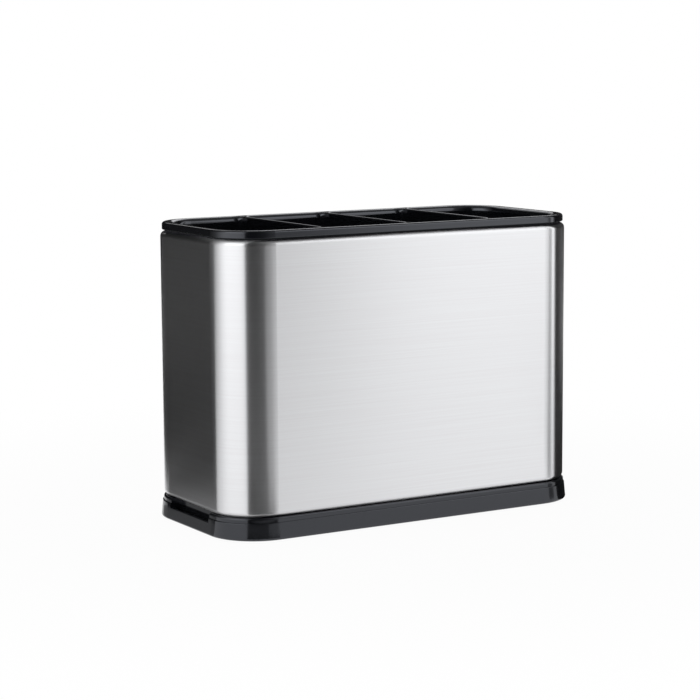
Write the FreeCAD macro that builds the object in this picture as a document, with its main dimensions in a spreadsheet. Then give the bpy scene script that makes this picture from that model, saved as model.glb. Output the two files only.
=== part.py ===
"""Cutlery holder: a brushed steel sleeve on a moulded base, with a lift-out insert of four pockets.

The long side lies along X, the short side along Y, and Z points up. The origin is on the table, under the
middle of the holder. Every outline is the base's rounded rectangle moved inwards, so a place on the section
is given as an inset from the outline of the base's foot.
"""
import FreeCAD, Part
import os
import re

import Sketcher

# Driving dimensions in millimetres: name, size, what it is.
DIMENSIONS = (
    ("overall_length", 180, "base, end to end"),
    ("overall_depth", 85, "base, front to back"),
    ("overall_height", 130, "table to the top of the rim"),
    ("corner_radius", 22, "corner of the base at its foot"),
    ("fit_clearance", 0.3, "gap round a piece that lifts out"),
    ("cut_overrun", 2, "how far a cut runs past its piece"),
    ("base_height", 10, "table to the ledge that carries the sleeve"),
    ("skirt_draft", 0.7, "lean of the skirt from its foot to its shoulder"),
    ("skirt_wall", 1.8, "wall of the skirt at its shoulder"),
    ("skirt_foot_radius", 1.0, "rounding under the skirt"),
    ("shoulder_radius", 0.3, "rounding of the skirt's upper edge"),
    ("lip_height", 2.2, "lip between the skirt's shoulder and the sleeve"),
    ("lip_inset", 0.45, "lip's step back from the skirt"),
    ("lip_edge_radius", 0.9, "rounding of the lip's upper edge"),
    ("lip_margin", 0.35, "lip that shows outside the sleeve"),
    ("ledge_thickness", 2, "plate between lip and upstand"),
    ("spigot_height", 6, "upstand inside the sleeve, above the ledge"),
    ("spigot_wall", 1.6, "wall of the upstand"),
    ("spigot_lead_in", 0.6, "bevel that guides the sleeve over the upstand"),
    ("well_floor", 2, "floor of the drip well"),
    ("well_floor_radius", 1.2, "rounding round the drip well's floor"),
    ("notch_depth", 3.9, "finger notch under the sleeve's short sides"),
    ("notch_margin", 2.5, "flat side between a notch and the corner"),
    ("notch_sill_radius", 0.4, "rounding of a notch's outer edge"),
    ("foot_diameter", 10, "rubber foot"),
    ("foot_height", 1.8, "rubber foot, table to the base's floor"),
    ("foot_edge_bevel", 0.4, "bevel of the rubber foot"),
    ("foot_stand", 0.4, "skirt's height above the table"),
    ("socket_wall", 1.6, "ring that holds a rubber foot"),
    ("sheet_thickness", 0.5, "steel sheet"),
    ("bend_radius", 2.3, "outer bend where the sheet turns in at both ends"),
    ("flange_width", 2.6, "turned-in edge, from the sleeve's face"),
    ("rim_height", 4.0, "rim and its neck, standing on the sleeve"),
    ("rim_gap", 0.7, "shadow gap between rim and sleeve, the neck's height"),
    ("rim_inset", 0.7, "rim's step back from the sleeve"),
    ("neck_inset", 1.5, "neck's step back from the rim"),
    ("rim_edge_radius", 1.2, "rounding of the rim's upper edge"),
    ("rim_foot_radius", 0.3, "rounding of the rim's lower edge"),
    ("tub_wall", 1.8, "wall of the pockets at the rim"),
    ("tub_draft", 0.8, "lean of the pocket walls from rim to floor"),
    ("tub_floor", 2, "floor of the pockets"),
    ("tub_lift", 2, "insert's height above the base's upstand"),
    ("tub_foot_radius", 2.5, "rounding under the insert"),
    ("divider_thickness", 1.6, "divider at the rim"),
    ("pocket_corner_radius", 3.6, "pocket corner beside a divider"),
    ("pocket_floor_radius", 2.5, "rounding round a pocket's floor"),
    ("mouth_edge_radius", 2.5, "rounding of the pockets' upper edges along the rim"),
    ("divider_edge_radius", 0.7, "rounding of the pockets' upper edges along a divider"),
    ("drain_diameter", 6, "drain hole"),
    ("drain_pitch", 16, "drain hole to drain hole"),
)
POCKETS = 4
DRAIN_COLUMNS = 2
DRAIN_ROWS = 4
# The most of a divider's width that one edge rounding may take.
ROUNDING_SHARE = 0.45
# How near a point lies to a plane or outline that it is on.
TOUCH = 0.02

# Levels and insets, worked out from the dimensions.
LIP_INSET = "(skirt_draft + lip_inset)"
SLEEVE_INSET = f"({LIP_INSET} + lip_margin)"
SPIGOT_INSET = f"({SLEEVE_INSET} + flange_width + fit_clearance)"
WELL_INSET = f"({SPIGOT_INSET} + spigot_wall)"
CHANNEL_INSET = "(skirt_draft + skirt_wall)"
RIM_INSET = f"({SLEEVE_INSET} + rim_inset)"
NECK_INSET = f"({RIM_INSET} + neck_inset)"
TUB_INSET = SPIGOT_INSET
MOUTH_INSET = f"({TUB_INSET} + tub_wall)"
SHOULDER_LEVEL = "(base_height - lip_height)"
LEDGE_UNDERSIDE = "(base_height - ledge_thickness)"
NOTCH_LEVEL = "(base_height - notch_depth)"
SPIGOT_TOP = "(base_height + spigot_height)"
WELL_LEVEL = "(foot_height + well_floor)"
SLEEVE_TOP = "(overall_height - rim_height)"
RIM_LEVEL = f"({SLEEVE_TOP} + rim_gap)"
TUB_LEVEL = f"({SPIGOT_TOP} + tub_lift)"
POCKET_LEVEL = f"({TUB_LEVEL} + tub_floor)"
POCKET_DEPTH = f"(overall_height - {POCKET_LEVEL})"
MOUTH_LENGTH = f"(overall_length - 2 * {MOUTH_INSET})"
MOUTH_DEPTH = f"(overall_depth - 2 * {MOUTH_INSET})"
POCKET_WIDTH = f"(({MOUTH_LENGTH} - {POCKETS - 1} * divider_thickness) / {POCKETS})"
POCKET_PITCH = f"({POCKET_WIDTH} + divider_thickness)"
FOOT_X = "(overall_length / 2 - corner_radius)"
FOOT_Y = "(overall_depth / 2 - corner_radius)"

doc = FreeCAD.newDocument("cutlery_holder")
sheet = doc.addObject("Spreadsheet::Sheet", "Dimensions")
for row, (name, size, meaning) in enumerate(DIMENSIONS, start=1):
    sheet.set(f"A{row}", name)
    sheet.set(f"B{row}", str(size))
    sheet.setAlias(f"B{row}", name)
    sheet.set(f"C{row}", meaning)
doc.recompute()
ALIASES = re.compile(r"\b(" + "|".join(name for name, size, meaning in DIMENSIONS) + r")\b")


def tied(expression):
    """The expression with each dimension's name pointing at its cell."""
    return ALIASES.sub(r"Dimensions.\1", expression)


def value(expression):
    """The number that an expression gives."""
    return float(sheet.evalExpression(tied(expression)))


def bind(item, **properties):
    """Ties properties to expressions: a double underscore in a name stands for a dot."""
    for name, expression in properties.items():
        item.setExpression(name.replace("__", "."), tied(expression))


def new_body(label):
    body = doc.addObject("PartDesign::Body", label)
    body.Label = label
    return body


def new_sketch(body, name, plane="XY_Plane", level=None):
    """A sketch on one of the body's own planes, raised to a level."""
    sketch = body.newObject("Sketcher::SketchObject", name)
    support = [origin for origin in body.Origin.OriginFeatures if origin.Role == plane]
    sketch.AttachmentSupport = [(support[0], "")]
    sketch.MapMode = "FlatFace"
    if level:
        bind(sketch, AttachmentOffset__Base__z=level)
    return sketch


def tie_constraint(sketch, constraint, expression):
    """Adds a dimension to a sketch and ties it to an expression."""
    index = sketch.addConstraint(constraint)
    bind(sketch, **{f"Constraints[{index}]": expression})


def tie_coordinate(sketch, kind, edge, point, expression):
    """Holds one coordinate of an edge's point at an expression."""
    size = value(expression)
    if size == 0:
        axis = -2 if kind == "DistanceX" else -1
        sketch.addConstraint(Sketcher.Constraint("PointOnObject", edge, point, axis))
    elif size > 0:
        tie_constraint(sketch, Sketcher.Constraint(kind, -1, 1, edge, point, size), expression)
    else:
        tie_constraint(sketch, Sketcher.Constraint(kind, edge, point, -1, 1, -size), f"-({expression})")


def add_outline(sketch, corners):
    """A closed outline of level and upright lines through corners given as x, y and rounding expressions."""
    points = [FreeCAD.Vector(value(x), value(y), 0) for x, y, rounding in corners]
    count = len(points)
    setback = [value(rounding) if rounding else 0 for x, y, rounding in corners]
    lines = []
    for here in range(count):
        there = (here + 1) % count
        along = (points[there] - points[here]).normalize()
        start = points[here] + along * setback[here]
        end = points[there] - along * setback[there]
        lines.append(sketch.addGeometry(Part.LineSegment(start, end), False))
        level = abs(along.y) < abs(along.x)
        sketch.addConstraint(Sketcher.Constraint("Horizontal" if level else "Vertical", lines[here]))
        x, y, rounding = corners[here]
        tie_coordinate(sketch, "DistanceY" if level else "DistanceX", lines[here], 1, y if level else x)
    for here in range(count):
        before, after = lines[here - 1], lines[here]
        rounding = corners[here][2]
        if not rounding:
            sketch.addConstraint(Sketcher.Constraint("Coincident", before, 2, after, 1))
            continue
        start = sketch.getPoint(before, 2)
        end = sketch.getPoint(after, 1)
        centre = start + end - points[here]
        middle = centre + (points[here] - centre).normalize() * setback[here]
        arc = sketch.addGeometry(Part.Arc(start, middle, end), False)
        first = 1 if (sketch.getPoint(arc, 1) - start).Length < TOUCH else 2
        sketch.addConstraint(Sketcher.Constraint("Tangent", before, 2, arc, first))
        sketch.addConstraint(Sketcher.Constraint("Tangent", arc, 3 - first, after, 1))
        tie_constraint(sketch, Sketcher.Constraint("Radius", arc, setback[here]), rounding)


def add_rectangle(sketch, low, high, roundings):
    """A rectangle between two corners, with roundings from its low corner round by +X."""
    corner_places = ((low[0], low[1]), (high[0], low[1]), (high[0], high[1]), (low[0], high[1]))
    add_outline(sketch, [(x, y, rounding) for (x, y), rounding in zip(corner_places, roundings)])


def add_holder_outline(sketch, inset):
    """The holder's rounded rectangle, moved inwards by an inset."""
    half_length = f"(overall_length / 2 - {inset})"
    half_depth = f"(overall_depth / 2 - {inset})"
    rounding = f"(corner_radius - {inset})"
    add_rectangle(sketch, (f"-{half_length}", f"-{half_depth}"), (half_length, half_depth), [rounding] * 4)


def outline_sketch(body, name, level, *insets):
    sketch = new_sketch(body, name, level=level)
    for inset in insets:
        add_holder_outline(sketch, inset)
    return sketch


def add_circle(sketch, x, y, diameter):
    centre = FreeCAD.Vector(value(x), value(y), 0)
    circle = sketch.addGeometry(Part.Circle(centre, FreeCAD.Vector(0, 0, 1), value(diameter) / 2), False)
    tie_coordinate(sketch, "DistanceX", circle, 3, x)
    tie_coordinate(sketch, "DistanceY", circle, 3, y)
    tie_constraint(sketch, Sketcher.Constraint("Diameter", circle, value(diameter)), diameter)


def pad(body, sketch, length, down=False, draft=None):
    """Raises a sketch, or lowers it, with a draft that narrows it by so much at its end."""
    feature = body.newObject("PartDesign::Pad", f"{sketch.Name}_pad")
    feature.Profile = sketch
    feature.Reversed = down
    bind(feature, Length=length)
    if draft:
        bind(feature, TaperAngle=f"-atan({draft} / {length})")
    doc.recompute()
    return feature


def pocket(body, sketch, length, up=False, draft=None):
    """Cuts a sketch down, or up, into the body and makes sure that material went."""
    before = body.Shape.Volume
    feature = body.newObject("PartDesign::Pocket", f"{sketch.Name}_cut")
    feature.Profile = sketch
    feature.Reversed = up
    bind(feature, Length=length)
    if draft:
        bind(feature, TaperAngle=f"-atan({draft} / {length})")
    doc.recompute()
    if body.Shape.Volume >= before:
        raise RuntimeError(f"{feature.Name} cuts nothing")
    return feature


def inset_of(point):
    """How far a point lies inside the outline of the base's foot, seen from above."""
    radius = value("corner_radius")
    x = abs(point.x) - (value("overall_length") / 2 - radius)
    y = abs(point.y) - (value("overall_depth") / 2 - radius)
    reach = FreeCAD.Vector(max(x, 0), max(y, 0), 0).Length + min(max(x, y), 0)
    return radius - reach


def edge_places(edge):
    """The two ends and the middle of an edge."""
    first, last = edge.ParameterRange
    return edge.valueAt(first), edge.valueAt(last), edge.valueAt((first + last) / 2)


def level_edges(item, level, least_inset, most_inset=None):
    """Numbers of the edges that lie at a level, on an outline's inset or between two insets."""
    height = value(level)
    low = value(least_inset) - TOUCH
    high = value(most_inset or least_inset) + TOUCH
    numbers = []
    for number, edge in enumerate(item.Shape.Edges, start=1):
        places = edge_places(edge)
        if all(abs(place.z - height) < TOUCH and low <= inset_of(place) <= high for place in places):
            numbers.append(number)
    if not numbers:
        raise RuntimeError(f"no edge of {item.Name} lies at {level}")
    return numbers


def dress(body, kind, base, edges, size):
    """Rounds or bevels edges of the body's last feature."""
    feature = body.newObject(f"PartDesign::{kind}", f"{base.Name}_{kind.lower()}")
    feature.Base = (base, [f"Edge{number}" for number in edges])
    bind(feature, **{"Radius" if kind == "Fillet" else "Size": size})
    doc.recompute()
    return feature


def cut_notches(body):
    """Finger notches in the short sides, each closed towards the hollow skirt by a floor and two end walls."""
    half_width = "(overall_depth / 2 - corner_radius - notch_margin)"
    inside = f"(overall_length / 2 - {SPIGOT_INSET})"
    walls = new_sketch(body, "notch_walls", level=f"({NOTCH_LEVEL} - ledge_thickness)")
    notches = new_sketch(body, "notches", level="base_height")
    for sketch, outside, half in (
        (walls, f"(overall_length / 2 - {CHANNEL_INSET})", f"({half_width} + ledge_thickness)"),
        (notches, "(overall_length / 2 + cut_overrun)", half_width),
    ):
        for low, high in ((f"-{outside}", f"-{inside}"), (inside, outside)):
            add_rectangle(sketch, (low, f"-{half}"), (high, half), [None] * 4)
    pad(body, walls, f"({LEDGE_UNDERSIDE} - {NOTCH_LEVEL} + ledge_thickness)")
    return pocket(body, notches, "notch_depth")


def make_base():
    """Moulded base: skirt, lip, upstand and drip well, notched under both short sides of the sleeve."""
    body = new_body("base_tray")
    skirt = outline_sketch(body, "skirt", "foot_stand", "0")
    pad(body, skirt, f"({SHOULDER_LEVEL} - foot_stand)", draft="skirt_draft")
    lip = outline_sketch(body, "lip", SHOULDER_LEVEL, LIP_INSET)
    pad(body, lip, "lip_height")
    spigot = outline_sketch(body, "spigot", "base_height", SPIGOT_INSET)
    pad(body, spigot, "spigot_height")
    well = outline_sketch(body, "well", SPIGOT_TOP, WELL_INSET)
    shape = pocket(body, well, f"({SPIGOT_TOP} - {WELL_LEVEL})")
    shape = dress(body, "Fillet", shape, level_edges(shape, WELL_LEVEL, WELL_INSET), "well_floor_radius")
    underside = outline_sketch(body, "underside", "foot_stand", CHANNEL_INSET)
    pocket(body, underside, "(foot_height - foot_stand)", up=True)
    channel = outline_sketch(body, "channel", "foot_height", CHANNEL_INSET, SPIGOT_INSET)
    pocket(body, channel, f"({LEDGE_UNDERSIDE} - foot_height)", up=True)
    sockets = new_sketch(body, "sockets", level="foot_height")
    for x in (f"-{FOOT_X}", FOOT_X):
        for y in (f"-{FOOT_Y}", FOOT_Y):
            bore = "(foot_diameter + 2 * fit_clearance)"
            add_circle(sockets, x, y, bore)
            add_circle(sockets, x, y, f"({bore} + 2 * socket_wall)")
    pad(body, sockets, "(foot_height - foot_stand)", down=True)
    shape = cut_notches(body)
    for kind, level, inset, size in (
        ("Fillet", "foot_stand", "0", "skirt_foot_radius"),
        ("Fillet", SHOULDER_LEVEL, "skirt_draft", "shoulder_radius"),
        ("Fillet", "base_height", LIP_INSET, "lip_edge_radius"),
        ("Chamfer", SPIGOT_TOP, SPIGOT_INSET, "spigot_lead_in"),
    ):
        shape = dress(body, kind, shape, level_edges(shape, level, inset), size)
    dress(body, "Fillet", shape, level_edges(shape, NOTCH_LEVEL, "0", "skirt_draft"), "notch_sill_radius")
    return body


def make_sleeve():
    """Steel sleeve: one section, turned in at both ends, carried round the holder's outline."""
    body = new_body("steel_sleeve")
    path = outline_sketch(body, "sleeve_path", "base_height", SLEEVE_INSET)
    section = new_sketch(body, "sleeve_section", plane="XZ_Plane")
    face = f"(overall_length / 2 - {SLEEVE_INSET})"
    lining = f"({face} - sheet_thickness)"
    edge = f"({face} - flange_width)"
    inner_bend = "(bend_radius - sheet_thickness)"
    add_outline(section, (
        (edge, "base_height", None),
        (face, "base_height", "bend_radius"),
        (face, SLEEVE_TOP, "bend_radius"),
        (edge, SLEEVE_TOP, None),
        (edge, f"({SLEEVE_TOP} - sheet_thickness)", None),
        (lining, f"({SLEEVE_TOP} - sheet_thickness)", inner_bend),
        (lining, "(base_height + sheet_thickness)", inner_bend),
        (edge, "(base_height + sheet_thickness)", None),
    ))
    doc.recompute()
    wall = body.newObject("PartDesign::AdditivePipe", "sleeve_wall")
    wall.Profile = section
    wall.Spine = (path, [f"Edge{index}" for index in range(1, len(path.Shape.Edges) + 1)])
    doc.recompute()
    return body


def round_mouths(moulding):
    """Rounds the pockets' upper edges: wide along the rim, narrow on the dividers, changing over at corners."""
    wide = value("mouth_edge_radius")
    narrow = min(value("divider_edge_radius"), ROUNDING_SHARE * value("divider_thickness"))
    wall = value(MOUTH_INSET)
    edges = []
    for number in level_edges(moulding, "overall_height", MOUTH_INSET, "(overall_depth / 2)"):
        ends = edge_places(moulding.Shape.Edges[number - 1])[:2]
        radii = [wide if abs(inset_of(end) - wall) < TOUCH else narrow for end in ends]
        edges.append((number, *radii))
    insert = doc.addObject("Part::Fillet", "compartment_insert")
    insert.Label = "compartment_insert"
    insert.Base = moulding
    insert.Edges = edges
    doc.recompute()
    return insert


def make_insert():
    """Moulded insert: a rim on a neck that stands on the sleeve, and a tub of pockets with drained floors."""
    body = new_body("insert_moulding")
    rim = outline_sketch(body, "rim", RIM_LEVEL, RIM_INSET)
    pad(body, rim, "(rim_height - rim_gap)")
    neck = outline_sketch(body, "neck", RIM_LEVEL, NECK_INSET)
    pad(body, neck, "rim_gap", down=True)
    tub = outline_sketch(body, "tub", SLEEVE_TOP, TUB_INSET)
    shape = pad(body, tub, f"({SLEEVE_TOP} - {TUB_LEVEL})", down=True, draft="tub_draft")
    shape = dress(body, "Fillet", shape, level_edges(shape, "overall_height", RIM_INSET), "rim_edge_radius")
    shape = dress(body, "Fillet", shape, level_edges(shape, RIM_LEVEL, RIM_INSET), "rim_foot_radius")
    lowest = level_edges(shape, TUB_LEVEL, f"({TUB_INSET} + tub_draft)")
    dress(body, "Fillet", shape, lowest, "tub_foot_radius")

    pockets = new_sketch(body, "pockets", level="overall_height")
    end_rounding = f"(corner_radius - {MOUTH_INSET})"
    for place in range(POCKETS):
        left = f"({place} * {POCKET_PITCH} - {MOUTH_LENGTH} / 2)"
        west = end_rounding if place == 0 else "pocket_corner_radius"
        east = end_rounding if place == POCKETS - 1 else "pocket_corner_radius"
        low = (left, f"-{MOUTH_DEPTH} / 2")
        high = (f"({left} + {POCKET_WIDTH})", f"{MOUTH_DEPTH} / 2")
        add_rectangle(pockets, low, high, [west, east, east, west])
    shape = pocket(body, pockets, POCKET_DEPTH, draft="tub_draft")
    floors = level_edges(shape, POCKET_LEVEL, MOUTH_INSET, "(overall_depth / 2)")
    dress(body, "Fillet", shape, floors, "pocket_floor_radius")

    drain = new_sketch(body, "drain", level=POCKET_LEVEL)
    first_pocket = f"(({POCKETS - 1}) * {POCKET_PITCH} / 2)"
    first_column = f"(({DRAIN_COLUMNS - 1}) * drain_pitch / 2)"
    first_row = f"(({DRAIN_ROWS - 1}) * drain_pitch / 2)"
    add_circle(drain, f"-({first_pocket} + {first_column})", f"-{first_row}", "drain_diameter")
    hole = pocket(body, drain, "(tub_floor + cut_overrun)")
    grid = body.newObject("PartDesign::MultiTransform", "drain_grid")
    grid.Originals = [hole]
    steps = []
    for name, axis, count, pitch in (
        ("drain_columns", "H_Axis", DRAIN_COLUMNS, "drain_pitch"),
        ("drain_rows", "V_Axis", DRAIN_ROWS, "drain_pitch"),
        ("drain_pockets", "H_Axis", POCKETS, POCKET_PITCH),
    ):
        step = body.newObject("PartDesign::LinearPattern", name)
        step.Direction = (drain, [axis])
        step.Occurrences = count
        bind(step, Length=f"({count - 1} * {pitch})")
        steps.append(step)
    grid.Transformations = steps
    body.Tip = grid
    doc.recompute()
    return round_mouths(body)


def make_foot(label, x, y):
    """Rubber foot in its socket under the base."""
    body = new_body(label)
    disc = new_sketch(body, f"{label}_disc")
    add_circle(disc, "0", "0", "foot_diameter")
    shape = pad(body, disc, "foot_height")
    edges = enumerate(shape.Shape.Edges, start=1)
    rim = [number for number, edge in edges if edge.BoundBox.ZMax < TOUCH]
    dress(body, "Chamfer", shape, rim, "foot_edge_bevel")
    bind(body, Placement__Base__x=x, Placement__Base__y=y)
    doc.recompute()
    return body


sub_parts = [make_base(), make_sleeve(), make_insert()]
for end, y in (("front", f"-{FOOT_Y}"), ("rear", FOOT_Y)):
    for side, x in (("left", f"-{FOOT_X}"), ("right", FOOT_X)):
        sub_parts.append(make_foot(f"foot_{end}_{side}", x, y))

doc.recompute()
for item in doc.Objects:
    if {"Invalid", "Error"} & set(item.State):
        raise RuntimeError(f"{item.Name} failed: {item.State}")
for part in sub_parts:
    if part.Shape.isNull() or not part.Shape.isValid():
        raise RuntimeError(f"{part.Label} has no sound shape")
os.makedirs("parts", exist_ok=True)
for part in sub_parts:
    part.Shape.exportStep(f"parts/{part.Label}.step")
    box = part.Shape.BoundBox
    print(part.Label, len(part.Shape.Solids), round(part.Shape.Volume, 1), [round(x, 2) for x in (
        box.XMin, box.XMax, box.YMin, box.YMax, box.ZMin, box.ZMax)])
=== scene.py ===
"""Cutlery holder: brushed steel sleeve, gloss black base and insert, on a white studio floor."""
import math

import bpy
from mathutils import Matrix, Vector


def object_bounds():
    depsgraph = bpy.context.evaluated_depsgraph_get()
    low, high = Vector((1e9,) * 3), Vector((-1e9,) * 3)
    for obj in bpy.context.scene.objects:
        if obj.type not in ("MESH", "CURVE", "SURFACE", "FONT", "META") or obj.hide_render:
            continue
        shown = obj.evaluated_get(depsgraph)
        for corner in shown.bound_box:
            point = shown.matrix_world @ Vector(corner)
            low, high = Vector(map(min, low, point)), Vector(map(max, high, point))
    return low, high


MM = 0.001
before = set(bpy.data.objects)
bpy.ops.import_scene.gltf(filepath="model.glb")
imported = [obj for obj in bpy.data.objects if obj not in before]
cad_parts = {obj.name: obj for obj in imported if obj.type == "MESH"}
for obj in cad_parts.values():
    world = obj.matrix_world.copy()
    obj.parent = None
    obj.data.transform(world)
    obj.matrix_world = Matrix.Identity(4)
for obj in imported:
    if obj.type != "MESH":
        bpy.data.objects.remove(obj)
cad_low, cad_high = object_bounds()

# Sizes of the mouldings
CORNER_RADIUS = 22 * MM
SLEEVE_CORNER = 20.5 * MM
SLEEVE_TOP = 126 * MM
GROOVE_HEIGHT = 0.7 * MM
# Between the groove's floor and the pockets' walls, from the base's outline.
POCKET_INSET = 5 * MM

# Nodes


def linear(code):
    """An sRGB hex colour as linear red, green, blue and alpha."""
    parts = [int(code[place:place + 2], 16) / 255 for place in (1, 3, 5)]
    return [c / 12.92 if c <= 0.04045 else ((c + 0.055) / 1.055) ** 2.4 for c in parts] + [1.0]


def add_node(tree, kind, inputs=None, **settings):
    """Adds a node with its settings; each input takes a value or another node's socket."""
    node = tree.nodes.new(kind)
    for name, setting in settings.items():
        setattr(node, name, setting)
    for name, source in (inputs or {}).items():
        if isinstance(source, bpy.types.NodeSocket):
            tree.links.new(source, node.inputs[name])
        else:
            node.inputs[name].default_value = source
    return node


def new_material(name):
    """A material with an empty node tree, and that tree."""
    material = bpy.data.materials.new(name)
    material.use_nodes = True
    material.node_tree.nodes.clear()
    return material, material.node_tree


# Materials

# Nearly all values of a noise texture lie between these two.
NOISE_LOW, NOISE_HIGH = 0.3, 0.7


def brushed_stainless_steel():
    """Stainless sheet brushed along its length: hairlines round the sleeve stretch reflections upright."""
    material, tree = new_material("brushed_stainless_steel")
    # Real hairlines lie closer together: this pitch is as coarse as it needs to be to show.
    hair_length, hair_pitch, hair_depth = 60 * MM, 0.5 * MM, 0.01 * MM
    smoothest, roughest = 0.285, 0.315
    quarter_turn = 0.25
    place = add_node(tree, "ShaderNodeTexCoord").outputs["Object"]
    along = add_node(tree, "ShaderNodeMapping", {
        "Vector": place,
        "Scale": (1 / hair_length, 1 / hair_length, 1 / hair_pitch),
    }).outputs["Vector"]
    hairs = add_node(tree, "ShaderNodeTexNoise", {"Vector": along, "Scale": 1.0, "Detail": 4.0})
    tone = add_node(tree, "ShaderNodeValToRGB", {"Fac": hairs.outputs["Fac"]})
    tone.color_ramp.elements[0].position = NOISE_LOW
    tone.color_ramp.elements[0].color = linear("#d8d8da")
    tone.color_ramp.elements[1].position = NOISE_HIGH
    tone.color_ramp.elements[1].color = linear("#dcdddf")
    grain = add_node(tree, "ShaderNodeMapRange", {
        "Value": hairs.outputs["Fac"],
        "From Min": NOISE_LOW,
        "From Max": NOISE_HIGH,
        "To Min": smoothest,
        "To Max": roughest,
    })
    relief = add_node(tree, "ShaderNodeBump", {
        "Height": hairs.outputs["Fac"], "Strength": 0.06, "Distance": hair_depth,
    })
    tangent = add_node(tree, "ShaderNodeTangent", direction_type="RADIAL", axis="Z")
    shader = add_node(tree, "ShaderNodeBsdfPrincipled", {
        "Base Color": tone.outputs["Color"],
        "Metallic": 1.0,
        "Roughness": grain.outputs["Result"],
        "Anisotropic": 0.95,
        "Anisotropic Rotation": quarter_turn,
        "Tangent": tangent.outputs["Tangent"],
        "Normal": relief.outputs["Normal"],
    })
    add_node(tree, "ShaderNodeOutputMaterial", {"Surface": shader.outputs["BSDF"]})
    return material


def groove_share(tree, place):
    """1 in the groove under the insert's rim, 0 on the rest of the mouldings."""
    core = (cad_high.x - CORNER_RADIUS, cad_high.y - CORNER_RADIUS, cad_high.z)
    groove_middle = SLEEVE_TOP + GROOVE_HEIGHT / 2
    # A little more than half its height, so that the groove's edges are in.
    half_band = 0.7 * GROOVE_HEIGHT
    sides = add_node(tree, "ShaderNodeVectorMath", {0: place}, operation="ABSOLUTE").outputs[0]
    past_core = add_node(tree, "ShaderNodeVectorMath", {
        0: sides, 1: core,
    }, operation="SUBTRACT").outputs[0]
    corner = add_node(tree, "ShaderNodeVectorMath", {
        0: past_core, 1: (0, 0, 0),
    }, operation="MAXIMUM").outputs[0]
    reach = add_node(tree, "ShaderNodeVectorMath", {0: corner}, operation="LENGTH").outputs["Value"]
    outside = add_node(tree, "ShaderNodeMath", {
        0: reach, 1: CORNER_RADIUS - POCKET_INSET,
    }, operation="GREATER_THAN").outputs[0]
    height = add_node(tree, "ShaderNodeSeparateXYZ", {"Vector": place}).outputs["Z"]
    level = add_node(tree, "ShaderNodeMath", {
        0: height, 1: groove_middle, 2: half_band,
    }, operation="COMPARE").outputs[0]
    return add_node(tree, "ShaderNodeMath", {0: outside, 1: level}, operation="MULTIPLY").outputs[0]


def gloss_black_abs():
    """Injection moulded ABS from a polished mould: near black, glossy, with a faint slow waviness.

    The mould's groove under the rim isn't polished, so there the moulding stays matt and shows as a dark
    line.
    """
    material, tree = new_material("gloss_black_abs")
    wave_length, wave_depth = 7 * MM, 0.02 * MM
    glossiest, dullest, matt = 0.11, 0.14, 0.9
    # Above the usual 1.54, matched to how bright the moulding looks beside the steel.
    shine_index = 1.66
    place = add_node(tree, "ShaderNodeTexCoord").outputs["Object"]
    wave = add_node(tree, "ShaderNodeTexNoise", {"Vector": place, "Scale": 1 / wave_length, "Detail": 2.0})
    polish = add_node(tree, "ShaderNodeMapRange", {
        "Value": wave.outputs["Fac"],
        "From Min": NOISE_LOW,
        "From Max": NOISE_HIGH,
        "To Min": glossiest,
        "To Max": dullest,
    })
    sheen = add_node(tree, "ShaderNodeMix", {
        "Factor": groove_share(tree, place), "A": polish.outputs["Result"], "B": matt,
    })
    relief = add_node(tree, "ShaderNodeBump", {
        "Height": wave.outputs["Fac"], "Strength": 0.1, "Distance": wave_depth,
    })
    shader = add_node(tree, "ShaderNodeBsdfPrincipled", {
        "Base Color": linear("#0e0f12"),
        "Roughness": sheen.outputs["Result"],
        "IOR": shine_index,
        # Painted light: a cool tint on the reflections stands in for bluish studio light; the plastic's own
        # reflections are neutral.
        "Specular Tint": linear("#f0f4ff"),
        "Normal": relief.outputs["Normal"],
    })
    add_node(tree, "ShaderNodeOutputMaterial", {"Surface": shader.outputs["BSDF"]})
    return material


def moulded_rubber():
    """Soft black rubber from a spark-eroded mould: matt, with a fine grit."""
    material, tree = new_material("moulded_rubber")
    # Coarser than the real grit, so that it shows.
    grit_size, grit_depth = 0.4 * MM, 0.05 * MM
    place = add_node(tree, "ShaderNodeTexCoord").outputs["Object"]
    grit = add_node(tree, "ShaderNodeTexNoise", {"Vector": place, "Scale": 1 / grit_size, "Detail": 3.0})
    relief = add_node(tree, "ShaderNodeBump", {
        "Height": grit.outputs["Fac"], "Strength": 0.4, "Distance": grit_depth,
    })
    shader = add_node(tree, "ShaderNodeBsdfPrincipled", {
        "Base Color": linear("#1c1c1d"), "Roughness": 0.75, "Normal": relief.outputs["Normal"],
    })
    add_node(tree, "ShaderNodeOutputMaterial", {"Surface": shader.outputs["BSDF"]})
    return material


def finish_node(name, material):
    """Gives a CAD node its finish."""
    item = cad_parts[name]
    item.data.materials.clear()
    item.data.materials.append(material)


steel = brushed_stainless_steel()
plastic = gloss_black_abs()
rubber = moulded_rubber()
finish_node("steel_sleeve", steel)
finish_node("base_tray", plastic)
finish_node("compartment_insert", plastic)
for foot in ("foot_front_left", "foot_front_right", "foot_rear_left", "foot_rear_right"):
    finish_node(foot, rubber)

# Viewpoint, from the photograph's vanishing lines
AZIMUTH, ELEVATION, ROLL = -30.89, 7.83, -0.33
DISTANCE = 974.7 * MM
LOOK_HEIGHT = 65 * MM
LOOK_RIGHT, LOOK_UP = -7.3 * MM, 5.54 * MM
LENS, SENSOR = 112.36, 36

# Sizes and lights of the studio
front_left = Vector((cad_low.x + CORNER_RADIUS, cad_low.y + CORNER_RADIUS, 0))
front_right = Vector((cad_high.x - CORNER_RADIUS, cad_low.y + CORNER_RADIUS, 0))
left_side = Vector((cad_low.x, 0, 0))
TENT_RADIUS = 700 * MM
TENT_HEIGHT = 850 * MM
# Cards up the wall, and the far ends of the floor cards on the left, stay this far from the middle.
CARD_REACH = 680 * MM
FLOOR_CARD_LIFT = 0.2 * MM
CEILING_FLAG_DROP = 2 * MM
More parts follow.
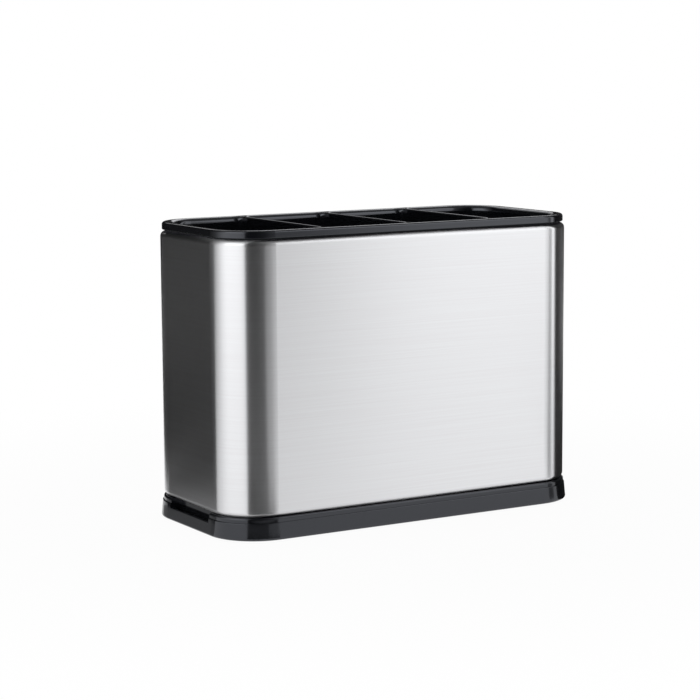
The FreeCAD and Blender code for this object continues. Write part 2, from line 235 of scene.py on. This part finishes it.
# Part of the white floor that is a touch darker, and where that has faded out.
FLOOR_NEAR, FLOOR_FAR = 120 * MM, 350 * MM
FLOOR_NEAR_SHARE = 0.95
FILL_STRENGTH = 0.8
CEILING_GLOW = 0.3
TENT_PEAK = 3.0
# Radiance of the tent's wall where a level ray from a place on the sleeve meets it, by azimuth in degrees.
TENT_GLOW = (
    (left_side, -190, 0.01),
    (left_side, -155, 0.02),
    (left_side, -149, 0.05),
    (front_left, -140, 0.16),
    (front_left, -128, 0.32),
    (front_left, -115, 0.85),
    (front_left, -106, 1.30),
    (front_left, -97, 1.52),
    (front_left, -88, 1.52),
    (front_left, -62, 1.42),
    (front_left, -55, 1.28),
    (front_left, -48, 1.15),
    (front_left, -46, 0.02),
    (front_left, -20, 0.02),
    (front_left, 4, 0.12),
    (front_left, 14, 0.26),
    (front_left, 20, 0.30),
    (front_left, 27, 0.50),
    (front_left, 31, 0.68),
    (front_left, 33.5, 1.06),
    (front_right, 26, 1.30),
    (front_right, 38, 1.50),
    (front_right, 45, 1.35),
    (front_right, 50, 0.55),
    (front_right, 55, 0.44),
    (front_right, 60, 2.00),
    (front_right, 64, 2.00),
    (front_right, 69, 0.30),
    (front_right, 74, 0.02),
    (front_right, 120, 0.05),
)
# Radiance of the floor cards.
CARD_GLOW = {
    "black_flag": 0.02,
    "far_flag": 0.06,
    "dark_card": 0.24,
    "left_card": 0.33,
    "grey_card": 0.56,
    "right_card": 0.3,
}
# Turn of the left corner's face at which its dark band starts.
BAND_START = -38.8
# Cards that show in the two front corners: corner, turns of its face, distances from it in mm, finish.
CORNER_CARDS = (
    ("floor_flag_base", front_left, (BAND_START, -4), (10, 48), "black_flag"),
    ("floor_flag_front", front_left, (BAND_START, -12), (48, 66), "black_flag"),
    ("floor_card_front", front_left, (BAND_START, -15), (66, 250), "dark_card"),
    ("floor_flag_front_far", front_left, (BAND_START, -15), (250, 640), "far_flag"),
    ("floor_card_middle", front_left, (-15, -5), (60, 640), "grey_card"),
    ("floor_card_right", front_right, (8, 16), (30, 640), "right_card"),
    ("floor_flag_right", front_right, (21.5, 60), (4, 640), "black_flag"),
)
# Edges of the two cards beside the left side, in mm from its middle, and bearings of the far edge.
SIDE_EDGE = ((-0.5, -22), (-0.5, 60))
LEFT_CARD_EDGE = ((-38, 14), (-18, 66))
LEFT_FLAG_BEARINGS = (-132, -195)
# Cards up the tent's wall: bearings from the tent's middle, heights in mm, radiance.
WALL_CARDS = (
    ("front_softbox", (25, 48), (300, 600), 1.6),
    ("high_softbox", (30, 62), (600, 850), 2.0),
    ("left_softbox", (-98, -55), (300, 850), 2.1),
    ("back_window", (158, 183), (380, 850), 1.0),
    ("right_softbox", (118, 158), (430, 850), 2.6),
    ("left_horizon", (-178, -140), (0, 24), 0.25),
)
# Flag under the ceiling, from the front left corner: bearings and distances in mm.
CEILING_FLAG = ((-44, 14), (120, 640))


def heading(azimuth):
    """Level direction at an azimuth in degrees: 0 is the front, 90 the right end."""
    turn = math.radians(azimuth)
    return Vector((math.sin(turn), -math.cos(turn), 0))


def spot(apex, azimuth, distance):
    """A place on the floor, seen from an apex."""
    return apex + heading(azimuth) * distance


def mirrored(apex, turn, distance):
    """A place on the floor, so far from the sleeve's corner, that shows where its face has turned."""
    return spot(apex, turn, SLEEVE_CORNER) + heading(2 * turn - AZIMUTH) * distance


def tent_share(apex, azimuth):
    """Share of the way round the tent, from behind by the left, where a level ray from an apex meets it."""
    ray = heading(azimuth)
    along = apex.dot(ray)
    reach = math.sqrt(TENT_RADIUS ** 2 - apex.length_squared + along ** 2) - along
    place = apex + ray * reach
    return math.atan2(place.x, -place.y) / math.tau + 0.5


def show_in_gloss_only(item):
    """Keeps a card out of sight of the camera and of matt surfaces, so that only reflections show it."""
    item.visible_camera = False
    item.visible_diffuse = False
    item.visible_shadow = False
    item.visible_transmission = False


def even_glow(name, radiance):
    """The same emission all over."""
    material, tree = new_material(name)
    light = add_node(tree, "ShaderNodeEmission", {"Strength": radiance})
    add_node(tree, "ShaderNodeOutputMaterial", {"Surface": light.outputs["Emission"]})
    return material


def tent_glow():
    """White paper tent lit in stretches: bright on the left, at the front and in a line on the right."""
    material, tree = new_material("graded_paper_tent")
    place = add_node(tree, "ShaderNodeTexCoord").outputs["Object"]
    parts = add_node(tree, "ShaderNodeSeparateXYZ", {"Vector": place}).outputs
    forward = add_node(tree, "ShaderNodeMath", {0: parts["Y"], 1: -1.0}, operation="MULTIPLY").outputs[0]
    turn = add_node(tree, "ShaderNodeMath", {0: parts["X"], 1: forward}, operation="ARCTAN2").outputs[0]
    round_share = add_node(tree, "ShaderNodeMapRange", {
        "Value": turn, "From Min": -math.pi, "From Max": math.pi, "To Min": 0.0, "To Max": 1.0,
    })
    ramp = add_node(tree, "ShaderNodeValToRGB", {"Fac": round_share.outputs["Result"]})
    stops = ramp.color_ramp.elements
    behind = TENT_GLOW[0][2] / TENT_PEAK
    for stop in stops:
        stop.color = (behind, behind, behind, 1)
    for apex, azimuth, radiance in TENT_GLOW:
        share = radiance / TENT_PEAK
        stops.new(tent_share(apex, azimuth) % 1.0).color = (share, share, share, 1)
    light = add_node(tree, "ShaderNodeEmission", {"Color": ramp.outputs["Color"], "Strength": TENT_PEAK})
    add_node(tree, "ShaderNodeOutputMaterial", {"Surface": light.outputs["Emission"]})
    return material


def seen_share(tree):
    """1 for rays from the camera, a glossy surface or glass, 0 for light that falls on a matt surface."""
    path = add_node(tree, "ShaderNodeLightPath").outputs
    rays = path["Is Camera Ray"]
    for other in ("Is Glossy Ray", "Is Transmission Ray"):
        rays = add_node(tree, "ShaderNodeMath", {0: rays, 1: path[other]}, operation="MAXIMUM").outputs[0]
    return rays


def white_studio():
    """Even white all round: full white to the eye and in reflections, less as light on matt surfaces."""
    world = bpy.data.worlds.new("white_studio")
    world.use_nodes = True
    tree = world.node_tree
    tree.nodes.clear()
    fill = add_node(tree, "ShaderNodeBackground", {"Color": linear("#ffffff"), "Strength": FILL_STRENGTH})
    white = add_node(tree, "ShaderNodeBackground", {"Color": linear("#ffffff"), "Strength": 1.0})
    choice = add_node(tree, "ShaderNodeMixShader", {
        0: seen_share(tree), 1: fill.outputs[0], 2: white.outputs[0],
    })
    add_node(tree, "ShaderNodeOutputWorld", {"Surface": choice.outputs[0]})
    return world


def white_floor_paint():
    """White painted board: plain white to the eye, a soft shade near the object, clear from below."""
    material, tree = new_material("white_floor_paint")
    place = add_node(tree, "ShaderNodeTexCoord").outputs["Object"]
    reach = add_node(tree, "ShaderNodeVectorMath", {0: place}, operation="LENGTH")
    fade = add_node(tree, "ShaderNodeMapRange", {
        "Value": reach.outputs["Value"],
        "From Min": FLOOR_NEAR,
        "From Max": FLOOR_FAR,
        "To Min": FLOOR_NEAR_SHARE,
        "To Max": 1.0,
    }, interpolation_type="SMOOTHSTEP")
    share = add_node(tree, "ShaderNodeMath", {
        0: fade.outputs["Result"], 1: seen_share(tree),
    }, operation="MULTIPLY")
    paint = add_node(tree, "ShaderNodeBsdfDiffuse", {"Color": linear("#e8e8e8")})
    glow = add_node(tree, "ShaderNodeEmission", {"Color": linear("#ffffff"), "Strength": 1.0})
    mixed = add_node(tree, "ShaderNodeMixShader", {
        0: share.outputs[0], 1: paint.outputs[0], 2: glow.outputs[0],
    })
    clear = add_node(tree, "ShaderNodeBsdfTransparent")
    from_below = add_node(tree, "ShaderNodeNewGeometry").outputs["Backfacing"]
    one_sided = add_node(tree, "ShaderNodeMixShader", {
        0: from_below, 1: mixed.outputs[0], 2: clear.outputs[0],
    })
    add_node(tree, "ShaderNodeOutputMaterial", {"Surface": one_sided.outputs[0]})
    return material


def add_flat_card(name, corners, material):
    """A card through four corners, given row by row, that shows in reflections only."""
    bpy.ops.object.select_all(action="DESELECT")
    bpy.ops.mesh.primitive_plane_add(size=1)
    card = bpy.context.object
    card.name = name
    for vertex, corner in zip(card.data.vertices, corners):
        vertex.co = corner
    card.data.materials.append(material)
    show_in_gloss_only(card)


def add_floor_card(name, near, far, material):
    """A card on the floor between two near and two far places."""
    lift = Vector((0, 0, FLOOR_CARD_LIFT))
    add_flat_card(name, [place + lift for place in (*near, *far)], material)


def add_wall_card(name, bearings, heights, material):
    """A card just inside the tent's wall, between two bearings from the tent's middle and two heights."""
    foot = [spot(Vector(), bearing, CARD_REACH) for bearing in bearings]
    corners = [place + Vector((0, 0, height)) for height in heights for place in foot]
    add_flat_card(name, corners, material)


# Studio
bpy.context.scene.world = white_studio()

bpy.ops.object.select_all(action="DESELECT")
bpy.ops.mesh.primitive_circle_add(vertices=96, radius=TENT_RADIUS, fill_type="NGON", location=(0, 0, 0))
floor = bpy.context.object
floor.name = "studio_floor"
floor.data.materials.append(white_floor_paint())

bpy.ops.object.select_all(action="DESELECT")
bpy.ops.mesh.primitive_cylinder_add(
    vertices=128,
    radius=TENT_RADIUS,
    depth=TENT_HEIGHT,
    end_fill_type="NOTHING",
    location=(0, 0, TENT_HEIGHT / 2),
)
tent = bpy.context.object
tent.name = "tent_wall"
tent.data.materials.append(tent_glow())
show_in_gloss_only(tent)

finishes = {name: even_glow(name, radiance) for name, radiance in CARD_GLOW.items()}
for name, apex, turns, reaches, finish in CORNER_CARDS:
    near, far = ([mirrored(apex, turn, reach * MM) for turn in turns] for reach in reaches)
    add_floor_card(name, near, far, finishes[finish])
side_edge, card_edge = (
    [left_side + Vector((x, y, 0)) * MM for x, y in edge] for edge in (SIDE_EDGE, LEFT_CARD_EDGE)
)
flag_edge = [spot(left_side, bearing, CARD_REACH) for bearing in LEFT_FLAG_BEARINGS]
add_floor_card("floor_card_left", side_edge, card_edge, finishes["left_card"])
add_floor_card("floor_flag_left", card_edge, flag_edge, finishes["black_flag"])
for name, bearings, heights, radiance in WALL_CARDS:
    add_wall_card(name, bearings, [height * MM for height in heights], even_glow(name, radiance))

ceiling_sides = (-TENT_RADIUS, TENT_RADIUS)
ceiling_corners = [Vector((x, y, TENT_HEIGHT)) for y in ceiling_sides for x in ceiling_sides]
add_flat_card("dim_ceiling", ceiling_corners, even_glow("dim_ceiling", CEILING_GLOW))
flag_rise = Vector((0, 0, TENT_HEIGHT - CEILING_FLAG_DROP))
flag_bearings, flag_reaches = CEILING_FLAG
flag_corners = [
    spot(front_left, bearing, reach * MM) + flag_rise for reach in flag_reaches for bearing in flag_bearings
]
add_flat_card("ceiling_flag", flag_corners, finishes["black_flag"])

# Camera
tilt, roll = math.radians(ELEVATION), math.radians(ROLL)
back = heading(AZIMUTH) * math.cos(tilt) + Vector((0, 0, math.sin(tilt)))
level_right = heading(AZIMUTH + 90)
level_up = back.cross(level_right)
right = level_right * math.cos(roll) + level_up * math.sin(roll)
up = level_up * math.cos(roll) - level_right * math.sin(roll)
eye = Vector((0, 0, LOOK_HEIGHT)) + right * LOOK_RIGHT + up * LOOK_UP + back * DISTANCE
camera_data = bpy.data.cameras.new("camera")
camera_data.sensor_width = SENSOR
camera_data.lens = LENS
camera = bpy.data.objects.new("camera", camera_data)
bpy.context.scene.collection.objects.link(camera)
camera.matrix_world = Matrix.Translation(eye) @ Matrix((right, up, back)).transposed().to_4x4()
bpy.context.scene.camera = camera
bpy.context.scene.view_settings.view_transform = "Standard"
